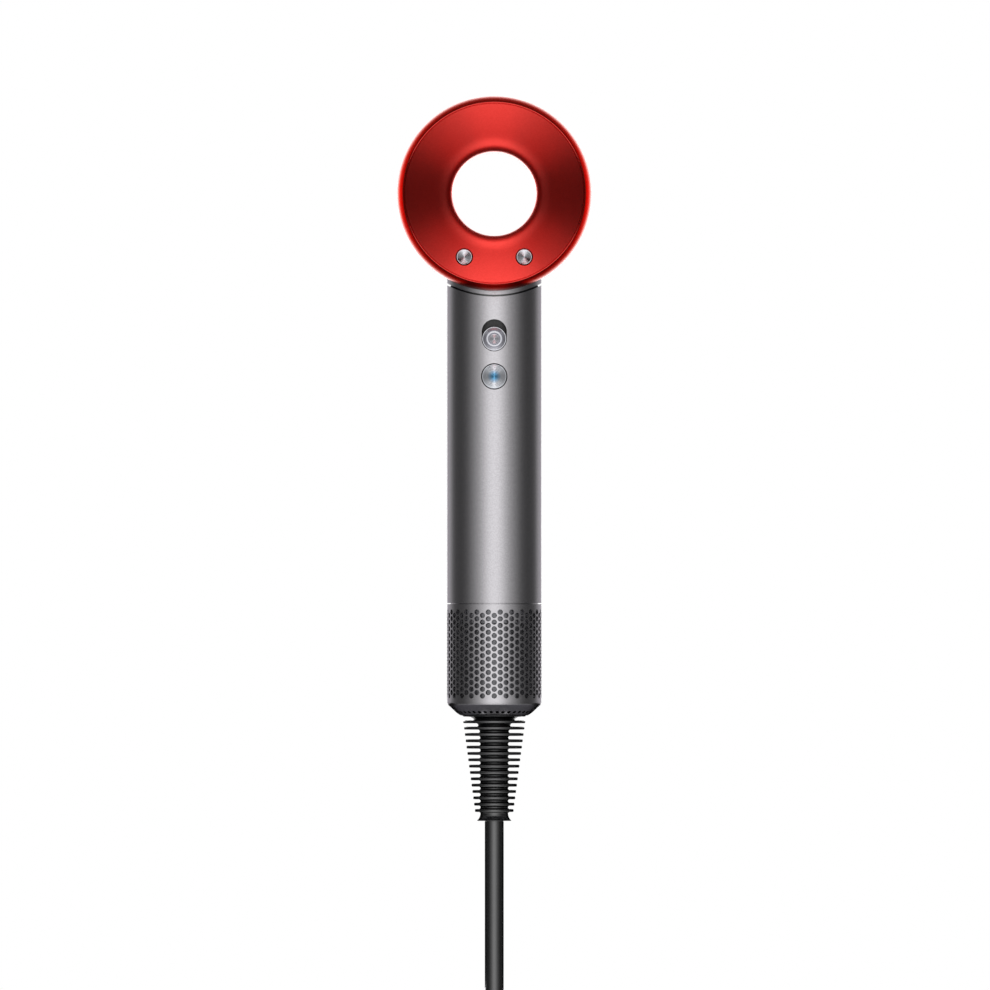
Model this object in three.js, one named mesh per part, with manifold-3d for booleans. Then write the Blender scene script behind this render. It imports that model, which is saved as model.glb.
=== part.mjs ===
// A hair dryer with a through-bore head, a tube handle that holds the motor, and a tied mains cord.
// Millimetres, +Z up. The origin is on the handle's axis at the grip. Air leaves the head along +Y.
import * as THREE from "three";
import { mergeVertices } from "three/addons/utils/BufferGeometryUtils.js";
import Module from "manifold-3d";

const wasm = await Module();
wasm.setup();

// Driving dimensions.
const headHeight = 120; // head axis above the origin
const headRadius = 39;
const headRear = -45; // rear edge of the head along Y
const headFront = 52;
const rimRadius = 36.5; // rear edge of the flare
const boreRadius = 16.9;
const filletRadius = 14; // round between the flare's cone and the bore
const wall = 1.5;
const gap = 0.3; // clearance between touching pieces
const boreSeam = -19.6; // where the flare's fillet meets the bore sleeve, along Y
const flareSeam = -24; // where the flare's band meets the barrel, along Y
const collarSeam = 46; // where the barrel meets the front collar, along Y
const handleRadius = 19;
const handleBore = 17.8;
const neckRadius = 40.8; // the neck ends on this radius about the head's axis
const cageTop = -44.5;
const cageBottom = -89.5;
const cageMouth = 13;
const screwX = 8.5; // the clamp's two screws
const buttonX = 12; // the two small buttons, from the head's axis
const buttonZ = -25.5;
const buttonRadius = 3.2;
const slotRadius = 5.05;
const slideTravel = 2.8;
const slideZ = 61.8; // the slide's knob at rest
const knobRadius = 4.85;
const coldZ = 46.7;
const coldRadius = 5;
const reliefEnd = -131.85;
const finCount = 15;
const finPitch = 2.548;
const finFirst = -92.05;
const finTopRadius = 12.45;
const finEndRadius = 7.75;
const cordRadius = 3.8;
const hankTop = -240; // centre of the hank's upper folds
const hankRun = 114; // straight runs between the folds
const hankFold = 30.4; // outer layer's fold radius at the cord's centre
const hankPitch = 7.7;
const tailY = -8.1;
const plugY = -16.3;

// ---- Shapes --------------------------------------------------------------------------------------

// A closed geometry as a solid that can be cut and joined.
function toSolid(geometry) {
  const bare = geometry.clone();
  bare.deleteAttribute("normal");
  bare.deleteAttribute("uv");
  const merged = mergeVertices(bare, 1e-4);
  const mesh = new wasm.Mesh({
    numProp: 3,
    vertProperties: merged.attributes.position.array,
    triVerts: Uint32Array.from(merged.index.array),
  });
  return new wasm.Manifold(mesh);
}

function toGeometry(solid) {
  const { vertProperties, triVerts } = solid.getMesh();
  const geometry = new THREE.BufferGeometry();
  geometry.setAttribute("position", new THREE.BufferAttribute(vertProperties, 3));
  geometry.setIndex(new THREE.BufferAttribute(triVerts, 1));
  geometry.computeVertexNormals();
  return geometry;
}

function cut(body, ...tools) {
  return toGeometry(tools.reduce((left, tool) => left.subtract(toSolid(tool)), toSolid(body)));
}

function join(...pieces) {
  return toGeometry(pieces.map(toSolid).reduce((sum, piece) => sum.add(piece)));
}

function common(a, b) {
  return toGeometry(toSolid(a).intersect(toSolid(b)));
}

// A body turned about Y from [radius, height] corners listed counter-clockwise.
function turned(corners, sides = 24) {
  const points = corners.map(([radius, height]) => new THREE.Vector2(radius, height));
  if (corners[0][0] > 0) points.push(points[0].clone());
  return new THREE.LatheGeometry(points, sides);
}

function ring(inner, outer, low, high, sides = 24) {
  return turned([[inner, low], [outer, low], [outer, high], [inner, high]], sides);
}

function disc(radius, low, high, sides = 24) {
  return turned([[0, low], [radius, low], [radius, high], [0, high]], sides);
}

// Turns a body about Y so that its axis runs up Z.
function upright(geometry) {
  return geometry.rotateX(Math.PI / 2);
}

function box(x0, x1, y0, y1, z0, z1) {
  const block = new THREE.BoxGeometry(x1 - x0, y1 - y0, z1 - z0);
  return block.translate((x0 + x1) / 2, (y0 + y1) / 2, (z0 + z1) / 2);
}

// A round bar between two points.
function bar(from, to, radius, sides = 12) {
  const start = new THREE.Vector3(...from);
  const along = new THREE.Vector3(...to).sub(start);
  const rod = disc(radius, 0, along.length(), sides);
  const turn = new THREE.Quaternion().setFromUnitVectors(new THREE.Vector3(0, 1, 0), along.normalize());
  return rod.applyQuaternion(turn).translate(...from);
}

// A round tube along a curve, with flat ends.
function tube(curve, radius, steps, sides) {
  const outline = new THREE.Shape();
  for (let i = 0; i < sides; i++) {
    const angle = (2 * Math.PI * i) / sides;
    const point = [radius * Math.cos(angle), radius * Math.sin(angle)];
    if (i === 0) outline.moveTo(...point);
    else outline.lineTo(...point);
  }
  outline.closePath();
  return new THREE.ExtrudeGeometry(outline, { steps, extrudePath: curve, curveSegments: 1 });
}

function spline(points) {
  const stops = points.map((point) => new THREE.Vector3(...point));
  return new THREE.CatmullRomCurve3(stops, false, "centripetal");
}

// A copy of a piece about Z, or about Y for the pieces of the head.
function spokes(piece, count, axis) {
  return Array.from({ length: count }, (_, i) => {
    const copy = piece.clone();
    const angle = (2 * Math.PI * i) / count;
    return axis === "y" ? copy.rotateY(angle) : copy.rotateZ(angle);
  });
}

// ---- Finishes and parts --------------------------------------------------------------------------

const finishes = {
  shell: [0x77727a, 0.35, 0.6],
  flare: [0xc8161d, 0.3, 0.3],
  metal: [0xc9cbd0, 0.25, 1],
  black: [0x17171a, 0.55, 0],
  rubber: [0x131315, 0.7, 0],
  plastic: [0x3a3c40, 0.6, 0],
  mica: [0xcbb994, 0.6, 0],
  wire: [0x8d8f93, 0.4, 1],
  board: [0x1e5c3a, 0.5, 0],
  copper: [0xb4693a, 0.35, 1],
  steel: [0x9a9ca1, 0.35, 1],
};

// Adds one named piece to a group.
function place(group, name, finish, geometry) {
  const [color, roughness, metalness] = finishes[finish];
  const mesh = new THREE.Mesh(geometry, new THREE.MeshStandardMaterial({ color, roughness, metalness }));
  mesh.name = name;
  group.add(mesh);
}

// ---- Head: every body is turned about Y, with the head's centre as its own origin ------------------

// The flare: bore fillet, cone, rear lip and the band round the barrel's rear edge.
function rearFlare() {
  const filletCentre = [boreRadius + filletRadius, boreSeam];
  const arc = (radius, turn) => [
    filletCentre[0] - radius * Math.cos(turn),
    filletCentre[1] - radius * Math.sin(turn),
  ];
  const turns = [0, 1, 2, 3].map((i) => (i * Math.PI) / 12);
  const seen = turns.map((turn) => arc(filletRadius, turn));
  const hidden = turns.map((turn) => arc(filletRadius - 1.6, turn)).reverse();
  const lip = [[35.9, -44.5], [36.5, headRear], [37.9, -41], [38.7, -36], [headRadius, -30]];
  const corners = [
    ...seen,
    ...lip,
    [headRadius, flareSeam - gap],
    [37.5, flareSeam - gap],
    [37.4, -30],
    [36.6, -37],
    [35.2, -41.4],
    ...hidden,
  ];
  const buttonHoles = [-buttonX, buttonX].map((x) => (
    bar([x, headRear, buttonZ], [x, -22, buttonZ], buttonRadius + gap, 16)
  ));
  return cut(turned(corners, 36), ...buttonHoles);
}

// The barrel with the neck stub that stands on the handle.
function headShell() {
  const inner = headRadius - wall;
  const outside = [[0, flareSeam], [headRadius, flareSeam], [headRadius, 24], [38.4, 34], [37.2, 42],
    [36.2, collarSeam], [0, collarSeam]];
  const inside = [[0, flareSeam - 1], [inner, flareSeam - 1], [inner, 24], [36.9, 34], [35.7, 42],
    [34.7, collarSeam + 1], [0, collarSeam + 1]];
  const neck = common(
    upright(disc(handleRadius, -neckRadius - 4, -25, 40)),
    disc(neckRadius, -30, 30, 48),
  );
  const duct = upright(disc(16.6, -neckRadius - 5, -20));
  return cut(join(turned(outside, 36), neck), turned(inside, 36), duct);
}

function boreSleeve() {
  return ring(boreRadius, boreRadius + 1.2, boreSeam + gap, 44);
}

// The inner lip of the outlet slot, which turns the air forward along the bore.
function innerOutletRing() {
  return turned([[16.9, 44.3], [18.3, 44.3], [19.4, 47], [26.2, 47], [26.6, 40], [28.2, 40],
    [27.7, 48.4], [26.5, 50], [19.2, 50], [17.6, 47.6]]);
}

// The outer lip of the outlet slot, whose flat face nozzles seat on.
function frontCollar() {
  return turned([[31.2, 43.5], [34.3, 43.5], [34.3, collarSeam + gap], [36.2, collarSeam + gap], [35.7, 50],
    [34.4, headFront], [31.2, headFront]], 36);
}

function heaterFrame() {
  const arm = (low) => box(-0.6, 0.6, low, low + 3, 20.6, 31);
  return join(
    ring(20, 21.2, 8, 38, 18),
    ...spokes(arm(8), 6, "y"),
    ...spokes(arm(35), 6, "y"),
  );
}

// The heating ribbon, pleated round the frame.
function heaterRibbon() {
  const pleats = 24;
  const outline = (high, low) => Array.from({ length: 2 * pleats }, (_, i) => {
    const angle = (Math.PI * i) / pleats;
    const radius = i % 2 ? low : high;
    return new THREE.Vector2(radius * Math.cos(angle), radius * Math.sin(angle));
  });
  const shape = new THREE.Shape(outline(29.6, 25.4));
  shape.holes.push(new THREE.Path(outline(28, 23.8)));
  const ribbon = new THREE.ExtrudeGeometry(shape, { depth: 22, bevelEnabled: false });
  return ribbon.rotateX(Math.PI / 2).translate(0, 34, 0);
}

function smallButton(x) {
  const cap = turned([[0, -38.2], [2.9, -38.2], [buttonRadius, -37.9], [buttonRadius, -31], [1.6, -31],
    [1.6, -27.2], [0, -27.2]], 16);
  return cap.translate(x, 0, buttonZ);
}

function smallSwitch(x) {
  return box(x - 3.1, x + 3.1, -26.4, -22.7, buttonZ - 3.1, buttonZ + 3.1);
}

function ioniser() {
  return join(box(-8, 8, -15, -5, 26.5, 33.5), bar([0, -5.2, 30], [0, 2, 30], 0.6, 8));
}

function buildHead() {
  const head = new THREE.Group();
  head.position.z = headHeight;
  place(head, "rear_flare", "flare", rearFlare());
  place(head, "head_shell", "shell", headShell());
  place(head, "bore_sleeve", "flare", boreSleeve());
  place(head, "inner_outlet_ring", "shell", innerOutletRing());
  place(head, "front_collar", "shell", frontCollar());
  place(head, "magnet_ring", "steel", ring(31.6, 34, 40, 43.2));
  place(head, "heat_shield", "mica", ring(32.3, 33, 6, 39.5));
  place(head, "heater_frame", "mica", heaterFrame());
  place(head, "heater_ribbon", "wire", heaterRibbon());
  place(head, "thermistor", "black", new THREE.SphereGeometry(1.2, 8, 6).translate(0, 41, 30));
  place(head, "thermal_fuse", "metal", bar([-4.5, 3.5, 27], [4.5, 3.5, 27], 1.8, 12));
  place(head, "ioniser_module", "black", ioniser());
  place(head, "control_board", "board", ring(20.6, 35.8, -22.4, -20.8));
  place(head, "speed_switch", "black", smallSwitch(-buttonX));
  place(head, "heat_switch", "black", smallSwitch(buttonX));
  place(head, "speed_button", "metal", smallButton(-buttonX));
  place(head, "heat_button", "metal", smallButton(buttonX));
  return head;
}

// ---- Handle --------------------------------------------------------------------------------------

// The saddle that the handle's top edge is cut to, about the head's axis.
function saddle(radius) {
  return disc(radius, -30, 30, 48).translate(0, 0, headHeight);
}

function handleTube() {
  const slot = join(
    bar([0, -25, slideZ], [0, -10, slideZ], slotRadius, 24),
    bar([0, -25, slideZ + slideTravel], [0, -10, slideZ + slideTravel], slotRadius, 24),
    box(-slotRadius, slotRadius, -25, -10, slideZ, slideZ + slideTravel),
  );
  const coldHole = bar([0, -25, coldZ], [0, -10, coldZ], coldRadius + gap, 24);
  const blank = upright(ring(handleBore, handleRadius, cageTop + gap, 95, 36));
  return cut(blank, saddle(neckRadius + gap), slot, coldHole);
}

function neckGasket() {
  return cut(upright(ring(16.9, 17.5, 74.2, 95)), saddle(neckRadius + gap));
}

// The inner duct, flattened behind the controls.
function innerDuct() {
  const outer = cut(upright(disc(16.3, 24, 86)), box(-20, 20, -20, -11, 20, 90));
  const inner = cut(upright(disc(15.3, 20, 90)), box(-20, 20, -20, -10, 10, 95));
  return cut(outer, inner);
}

// The curved plate that closes the slot behind the knob and slides with it.
function slidePlate() {
  const band = upright(ring(16.6, 17.4, slideZ - 9, slideZ + 9, 36));
  const window = box(-6.6, 6.6, -20, 0, slideZ - 20, slideZ + 20);
  return cut(common(band, window), bar([0, -20, slideZ], [0, -14, slideZ], 1.8, 12));
}

function powerSlide() {
  const knob = turned([[0, -19.5], [2.2, -19.5], [2.5, -20], [3.1, -20], [3.3, -19.6], [4.6, -19.4],
    [knobRadius, -19.1], [knobRadius, -17.8], [1.5, -17.8], [1.5, -16.3], [0, -16.3]], 18);
  return knob.translate(0, 0, slideZ);
}

function coldButton() {
  const button = turned([[0, -19.3], [4.5, -19.5], [coldRadius, -19.2], [coldRadius, -15.9], [6, -15.9],
    [6, -15.1], [0, -15.1]], 18);
  return button.translate(0, 0, coldZ);
}

// The spring that pushes the cold-shot button back out.
function coldSpring() {
  const turns = 2;
  const stepsPerTurn = 10;
  const coil = Array.from({ length: turns * stepsPerTurn + 1 }, (_, i) => {
    const angle = (2 * Math.PI * i) / stepsPerTurn;
    const y = -14.6 + (1.5 * i) / (turns * stepsPerTurn);
    return [4.9 * Math.cos(angle), y, coldZ + 4.9 * Math.sin(angle)];
  });
  return tube(spline(coil), 0.25, turns * stepsPerTurn, 5);
}

// One mains lead, from the cord's end up the handle's wall to the switch board.
function mainsLead(side) {
  const route = spline([[side * 2, 0, -76], [side * 5, -6, -62], [side * 8.6, -10.5, -42],
    [side * 10.4, -12.5, -29], [side * 10.5, -12.6, 0], [side * 10.5, -12.6, 50]]);
  return tube(route, 0.8, 14, 6);
}

// The flat loom from the switch board up through the neck to the head's board.
function headLoom() {
  const route = spline([[0, -13, 76.6], [0, -13.2, 82], [0, -14.5, 90], [0, -18.9, 95]]);
  return tube(route, 1.2, 6, 6);
}

function buildHandle() {
  const handle = new THREE.Group();
  place(handle, "handle_tube", "shell", handleTube());
  place(handle, "neck_gasket", "rubber", neckGasket());
  place(handle, "inner_duct", "plastic", innerDuct());
  place(handle, "switch_board", "board", box(-8, 8, -12.6, -11.4, 38, 76));
  place(handle, "slide_switch", "black", box(-4, 4, -15.9, -12.9, 57, 69));
  place(handle, "slide_plate", "black", slidePlate());
  place(handle, "power_slide", "metal", powerSlide());
  place(handle, "cold_shot_switch", "black", box(-3, 3, -13.8, -12.9, coldZ - 3, coldZ + 3));
  place(handle, "cold_shot_spring", "wire", coldSpring());
  place(handle, "cold_shot_button", "metal", coldButton());
  place(handle, "lead_live", "black", mainsLead(1));
  place(handle, "lead_neutral", "black", mainsLead(-1));
  place(handle, "head_loom", "black", headLoom());
  return handle;
}

// ---- Motor, inside the lower handle ----------------------------------------------------------------

// The motor's sleeve with the three-armed spider that holds the lower bearing.
function motorHousing() {
  const spider = upright(ring(4.6, 6, -29, -26, 12));
  const arms = spokes(box(-0.8, 0.8, 5.6, 13, -29, -26), 3, "z");
  return join(upright(ring(12.6, 13.7, -34, 14)), spider, ...arms);
}

function statorCore() {
  const slots = spokes(box(-1.6, 1.6, 5, 9.5, -25, -11), 6, "z");
  return cut(upright(ring(7, 12.3, -24, -12, 30)), ...slots);
}

// A bladed ring: blades stand from the hub to a radius, tilted about their own length.
function bladed(hub, bladeTip, low, high, count, tilt) {
  const middle = (low + high) / 2;
  const blade = new THREE.BoxGeometry(0.8, bladeTip - 4.6, high - low + 1);
  blade.rotateY(tilt).translate(0, (bladeTip + 4.6) / 2 + 0.2, middle);
  const envelope = upright(ring(4.8, bladeTip, low, high, 18));
  return common(join(hub, ...spokes(blade, count, "z")), join(envelope, hub));
}

function impeller() {
  const hub = upright(turned([[2.3, -7], [6.4, -7], [5.2, 3], [2.3, 3]], 14));
  return bladed(hub, 12.1, -6.5, 2.5, 9, 0.6);
}

// Fixed vanes above the impeller, whose hub holds the upper bearing.
function diffuser() {
  const hub = upright(ring(4.6, 6.5, 5, 13, 14));
  const vanes = spokes(box(-0.4, 0.4, 6, 12.1, 5, 13), 7, "z");
  return join(hub, ...vanes, upright(ring(11.4, 12.3, 5, 13, 18)));
}

function buildMotor() {
  const motor = new THREE.Group();
  place(motor, "motor_boot", "rubber", upright(ring(14, 15.3, -30, 10)));
  place(motor, "motor_housing", "plastic", motorHousing());
  place(motor, "stator_core", "steel", statorCore());
  place(motor, "winding_lower", "copper", upright(ring(8, 11.6, -25.6, -24.3, 16)));
  place(motor, "winding_upper", "copper", upright(ring(8, 11.6, -11.7, -10.4, 16)));
  place(motor, "bearing_lower", "steel", upright(ring(2.3, 4.3, -29, -26, 12)));
  place(motor, "bearing_upper", "steel", upright(ring(2.3, 4.3, 7, 10, 12)));
  place(motor, "rotor_shaft", "steel", upright(disc(2, -31, 11, 12)));
  place(motor, "rotor_magnet", "steel", upright(ring(2.3, 6.3, -24, -12, 16)));
  place(motor, "impeller", "metal", impeller());
  place(motor, "diffuser", "plastic", diffuser());
  place(motor, "motor_board", "board", upright(ring(4, 12, -41, -39.6, 16)));
  return motor;
}

// ---- Foot: the filter cage and what it covers -------------------------------------------------------

// The cage that pulls down off the foot, with its air slots.
function filterCage() {
  const shell = upright(turned([[cageMouth, cageBottom + 1], [cageMouth, cageBottom], [13.6, cageBottom],
    [14.5, -88.9], [18.5, -85.4], [handleRadius, -84.4], [handleRadius, cageTop - gap],
    [handleBore, cageTop - gap], [handleBore, -84.3], [17.4, -84.9], [14.1, -87.8]], 32));
  const slots = spokes(box(-1.1, 1.1, 16, 20, -82, -48), 16, "z");
  return cut(shell, ...slots);
}

function baseFrame() {
  const posts = spokes(box(-0.8, 0.8, 13, 16.1, -84, -42), 6, "z");
  const screwHoles = [-screwX, screwX].map((x) => bar([x, 0, -90], [x, 0, -80], 1.4, 12));
  return cut(join(upright(ring(15.7, 17.4, -52, -40)), upright(ring(6.5, 14, -86.6, -83)), ...posts),
    ...screwHoles);
}

// The bar that clamps the strain relief's stem to the frame.
function cableClamp() {
  return cut(box(-10.4, 10.4, -7.4, 7.4, -82.7, -79), bar([0, 0, -84], [0, 0, -77], 6.4, 24),
    ...[-screwX, screwX].map((x) => bar([x, 0, -84], [x, 0, -77], 1.4, 12)));
}

function clampScrew(x) {
  const screw = upright(turned([[0, -86], [1.1, -86], [1.1, -78.7], [2.2, -78.7], [2.2, -77.3],
    [0, -77.3]], 12));
  return screw.translate(x, 0, 0);
}

// The strain relief: a flange under the foot, a stem that narrows as it leaves it, fins and a flared end.
function strainRelief() {
  const core = 5.55;
  const flangeRadius = cageMouth - gap;
  const shoulder = -90.1;
  const half = 0.45; // half a fin's thickness
  const stem = (z) => core + 4 * Math.exp((z - shoulder) / 2.2);
  const fins = Array.from({ length: finCount }, (_, i) => {
    const z = finFirst - i * finPitch;
    const radius = finTopRadius + ((finEndRadius - finTopRadius) * i) / (finCount - 1);
    return [[stem(z - half), z - half], [radius, z - half], [radius, z + half], [stem(z + half), z + half]];
  });
  const corners = [[0, reliefEnd], [6.85, reliefEnd], [6.6, reliefEnd + 0.9], ...fins.reverse().flat(),
    [stem(shoulder), shoulder], [flangeRadius, -89.8], [flangeRadius, -86.9], [6, -86.9], [6, -78.4],
    [0, -78.4]];
  return upright(turned(corners, 12));
}

function buildFoot() {
  const foot = new THREE.Group();
  place(foot, "filter_cage", "shell", filterCage());
  place(foot, "fine_filter", "wire", upright(ring(16.5, 17.1, -82, -52.4)));
  place(foot, "base_frame", "plastic", baseFrame());
  place(foot, "cable_clamp", "plastic", cableClamp());
  place(foot, "clamp_screw_left", "steel", clampScrew(-screwX));
  place(foot, "clamp_screw_right", "steel", clampScrew(screwX));
  place(foot, "strain_relief", "rubber", strainRelief());
  return foot;
}

// ---- Cord: a straight drop, a tied hank of two layers and four rows, and a plug on its face ---------

const hankBottom = hankTop - hankRun;
const hankEdge = hankFold + cordRadius;
const hankBack = -cordRadius - 0.2;
const hankFront = 3 * hankPitch + cordRadius + 0.2;

// The tied hank's outer shape.
function hank() {
  const outline = new THREE.Shape();
  outline.moveTo(hankEdge, hankBottom);
  outline.lineTo(hankEdge, hankTop);
  outline.absarc(0, hankTop, hankEdge, 0, Math.PI, false);
  outline.lineTo(-hankEdge, hankBottom);
  outline.absarc(0, hankBottom, hankEdge, Math.PI, 2 * Math.PI, false);
  const depth = hankFront - hankBack;
  const body = new THREE.ExtrudeGeometry(outline, { depth, bevelEnabled: false, curveSegments: 12 });
  return body.rotateX(Math.PI / 2).translate(0, hankFront, 0);
}

function cordDrop() {
  const path = spline([[0, 0, reliefEnd - gap], [0, 0, -170], [0, 0, hankTop + hankEdge + gap]]);
  return tube(path, cordRadius, 3, 12);
}

// The cord's end, from the hank's lower fold across its face to the plug.
function cordTail() {
  const path = spline([[-hankFold, tailY, hankBottom], [-29.4, -8.4, -346], [-26.4, -9.2, -338.5],
    [-21.6, -10.5, -332.1], [-15.2, -12.2, -327], [-8.8, -13.9, -322], [-4, -15.2, -315.5], [-1, -16, -308],
    [0, plugY, -300], [0, plugY, -296.2]]);
  return tube(path, cordRadius, 12, 8);
}

// The strap round the hank and the plug.
function cordTie() {
  const half = hankEdge + gap;
  const loop = (grow) => new THREE.Shape([
    [-half - grow, hankFront + gap + grow], [-half - grow, hankBack - gap],
    [-18.6 - 0.7 * grow, -28.8 - grow], [18.6 + 0.7 * grow, -28.8 - grow],
    [half + grow, hankBack - gap], [half + grow, hankFront + gap + grow],
  ].map(([x, y]) => new THREE.Vector2(x, y)));
  const strap = loop(1.4);
  strap.holes.push(new THREE.Path(loop(0).getPoints()));
  return new THREE.ExtrudeGeometry(strap, { depth: 14, bevelEnabled: false }).translate(0, 0, -274);
}

// A generic two-pin plug, its cord end down and its flat face up.
function plugBody() {
  const body = upright(turned([[0, -295.9], [7.5, -295.9], [8.5, -290], [12, -284], [17, -279], [18, -275],
    [18, -256], [17, -254], [0, -254]], 20));
  return body.scale(1, 2 / 3, 1).translate(0, plugY, 0);
}

function plugPin(x) {
  const pin = upright(turned([[0, -253.7], [2.4, -253.7], [2.4, -236], [1.4, -234.7], [0, -234.7]], 12));
  return pin.translate(x, plugY, 0);
}

function buildCord() {
  const cord = new THREE.Group();
  place(cord, "cord_drop", "rubber", cordDrop());
  place(cord, "cord_hank", "rubber", hank());
  place(cord, "cord_tail", "rubber", cordTail());
  place(cord, "cord_tie", "black", cordTie());
  place(cord, "plug_body", "rubber", plugBody());
  place(cord, "plug_pin_left", "metal", plugPin(-9.5));
  place(cord, "plug_pin_right", "metal", plugPin(9.5));
  return cord;
}

const dryer = new THREE.Group();
dryer.add(buildHead(), buildHandle(), buildMotor(), buildFoot(), buildCord());
export default dryer;
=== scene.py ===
import math

import bpy
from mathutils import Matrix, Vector


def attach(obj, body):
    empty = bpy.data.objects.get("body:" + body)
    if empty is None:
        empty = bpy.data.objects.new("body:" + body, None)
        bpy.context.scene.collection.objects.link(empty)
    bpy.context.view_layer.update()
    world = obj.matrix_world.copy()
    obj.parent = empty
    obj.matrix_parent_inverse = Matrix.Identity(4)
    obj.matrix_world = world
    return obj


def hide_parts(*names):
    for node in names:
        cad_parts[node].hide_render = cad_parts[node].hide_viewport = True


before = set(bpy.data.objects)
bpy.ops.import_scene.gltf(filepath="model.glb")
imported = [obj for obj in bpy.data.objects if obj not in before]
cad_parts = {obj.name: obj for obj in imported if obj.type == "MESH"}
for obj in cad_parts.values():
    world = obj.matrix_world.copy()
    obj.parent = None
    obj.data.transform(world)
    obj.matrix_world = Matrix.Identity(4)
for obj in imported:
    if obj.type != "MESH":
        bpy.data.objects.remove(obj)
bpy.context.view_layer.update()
mm = 0.001



def deselectAll():
    bpy.ops.object.select_all(action="DESELECT")


def activate(obj):
    deselectAll()
    obj.select_set(True)
    bpy.context.view_layer.objects.active = obj
    return obj


def addModifier(obj, kind, **settings):
    modifier = obj.modifiers.new(kind.title(), kind)
    for name, value in settings.items():
        setattr(modifier, name, value)
    return modifier


def applyModifiers(obj):
    activate(obj)
    for modifier in list(obj.modifiers):
        bpy.ops.object.modifier_apply(modifier=modifier.name)
    return obj


def bakePlace(obj):
    # the object ends at the origin, with its place in the mesh
    activate(obj)
    bpy.ops.object.transform_apply(location=True, rotation=True, scale=True)
    return obj


def smoothShade(obj, angle=35):
    activate(obj)
    bpy.ops.object.shade_smooth_by_angle(angle=math.radians(angle))
    return obj


def roundEdges(obj, width, segments=3, angle=35):
    addModifier(obj, "BEVEL", width=width * mm, segments=segments, limit_method="ANGLE",
                angle_limit=math.radians(angle), harden_normals=False)
    return applyModifiers(obj)


def selectWhere(obj, kind, test):
    # in edit mode: selects the vertices, edges or faces for which test is true
    bpy.ops.mesh.select_mode(type=kind)
    bpy.ops.mesh.select_all(action="DESELECT")
    bpy.ops.object.mode_set(mode="OBJECT")
    for item in {"VERT": obj.data.vertices, "EDGE": obj.data.edges, "FACE": obj.data.polygons}[kind]:
        item.select = test(item)
    bpy.ops.object.mode_set(mode="EDIT")


def drawnLine(name, points, closed=False):
    # a chain of edges, extruded from one corner of a plane, through points in millimetres
    first = Vector(points[0]) * mm
    bpy.ops.mesh.primitive_plane_add(size=mm, location=first)
    obj = bpy.context.object
    obj.name = name
    bpy.ops.object.mode_set(mode="EDIT")
    bpy.ops.mesh.select_mode(type="VERT")
    bpy.ops.mesh.merge(type="CENTER")
    last = first
    for point in points[1:]:
        spot = Vector(point) * mm
        bpy.ops.mesh.extrude_region_move(TRANSFORM_OT_translate={"value": spot - last})
        last = spot
    if closed:
        selectWhere(obj, "VERT", lambda v: min((obj.matrix_world @ v.co - first).length,
                                               (obj.matrix_world @ v.co - last).length) < 0.001 * mm)
        bpy.ops.mesh.edge_face_add()
    bpy.ops.mesh.select_all(action="SELECT")
    return obj


axisTurns = {
    "head": ((0, 0, 120), lambda r, h: (r, h, 120), (0, 1, 0)),
    "handle": ((0, 0, 0), lambda r, h: (r, 0, h), (0, 0, 1)),
}


def turnedPiece(name, corners, about, steps=128, centre=None):
    # spins an outline of [radius, height] round the head's axis or the handle's
    origin, place, axis = axisTurns[about]
    if centre is not None:
        shift = Vector(centre) - Vector(origin)
        origin = centre
    else:
        shift = Vector((0, 0, 0))
    onAxis = corners[0][0] == 0 and corners[-1][0] == 0
    points = [tuple(Vector(place(r, h)) + shift) for r, h in corners]
    obj = drawnLine(name, points, closed=not onAxis)
    bpy.ops.mesh.spin(steps=steps, angle=2 * math.pi, center=Vector(origin) * mm, axis=axis)
    bpy.ops.mesh.select_all(action="SELECT")
    bpy.ops.mesh.remove_doubles(threshold=0.002 * mm)
    bpy.ops.mesh.normals_make_consistent(inside=False)
    bpy.ops.object.mode_set(mode="OBJECT")
    return bakePlace(obj)


def cutAway(obj, *cutters):
    # each cutter is used up
    for cutter in cutters:
        modifier = addModifier(obj, "BOOLEAN", operation="DIFFERENCE", solver="EXACT")
        modifier.object = cutter
        applyModifiers(obj)
        bpy.data.objects.remove(cutter)
    return obj


def finishPiece(obj, body, slot, material, *nodes):
    obj.data.materials.clear()
    obj.data.materials.append(material)
    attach(obj, body)
    if nodes:
        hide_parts(*nodes)
    return obj



camera = {
    "distance": 12.0,
    "seenWidth": 0.39695,      # width of the frame at the head's rear band
    "rearBand": -0.030,
    "centre": (0.0003, -0.0009),
    "sensor": 36.0,
}

studio = {
    "floorHeight": -0.3884,
    "floorSize": 5.0,
    "overheadHeight": 2.2,
    "overheadSize": 2.6,
    "overheadPower": 9.0,
}


def makeCamera():
    bpy.ops.object.camera_add(location=(camera["centre"][0], -camera["distance"], camera["centre"][1]),
                              rotation=(math.pi / 2, 0, 0))
    seen = bpy.context.object
    seen.name = "mainCamera"
    seen.data.sensor_width = camera["sensor"]
    reach = camera["distance"] + camera["rearBand"]
    seen.data.lens = camera["sensor"] * reach / camera["seenWidth"]
    seen.data.clip_end = 60
    bpy.context.scene.camera = seen
    print("camera: lens", round(seen.data.lens), "mm")


def addNode(tree, kind, settings=None, links=None):
    # settings go to the node's own fields, to its inputs by name or number, or to a ramp's stops;
    # links feed inputs from outputs
    node = tree.nodes.new(kind)
    for name, value in (settings or {}).items():
        if name == "stops":
            ramp = node.color_ramp
            for i, (spot, level) in enumerate(value):
                element = ramp.elements[i] if i < 2 else ramp.elements.new(spot)
                element.position = spot
                element.color = (*level[:3], 1) if isinstance(level, tuple) else (level, level, level, 1)
        elif isinstance(name, int) or name in node.inputs:
            node.inputs[name].default_value = value
        else:
            setattr(node, name, value)
    for name, source in (links or {}).items():
        tree.links.new(source, node.inputs[name])
    return node


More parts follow.
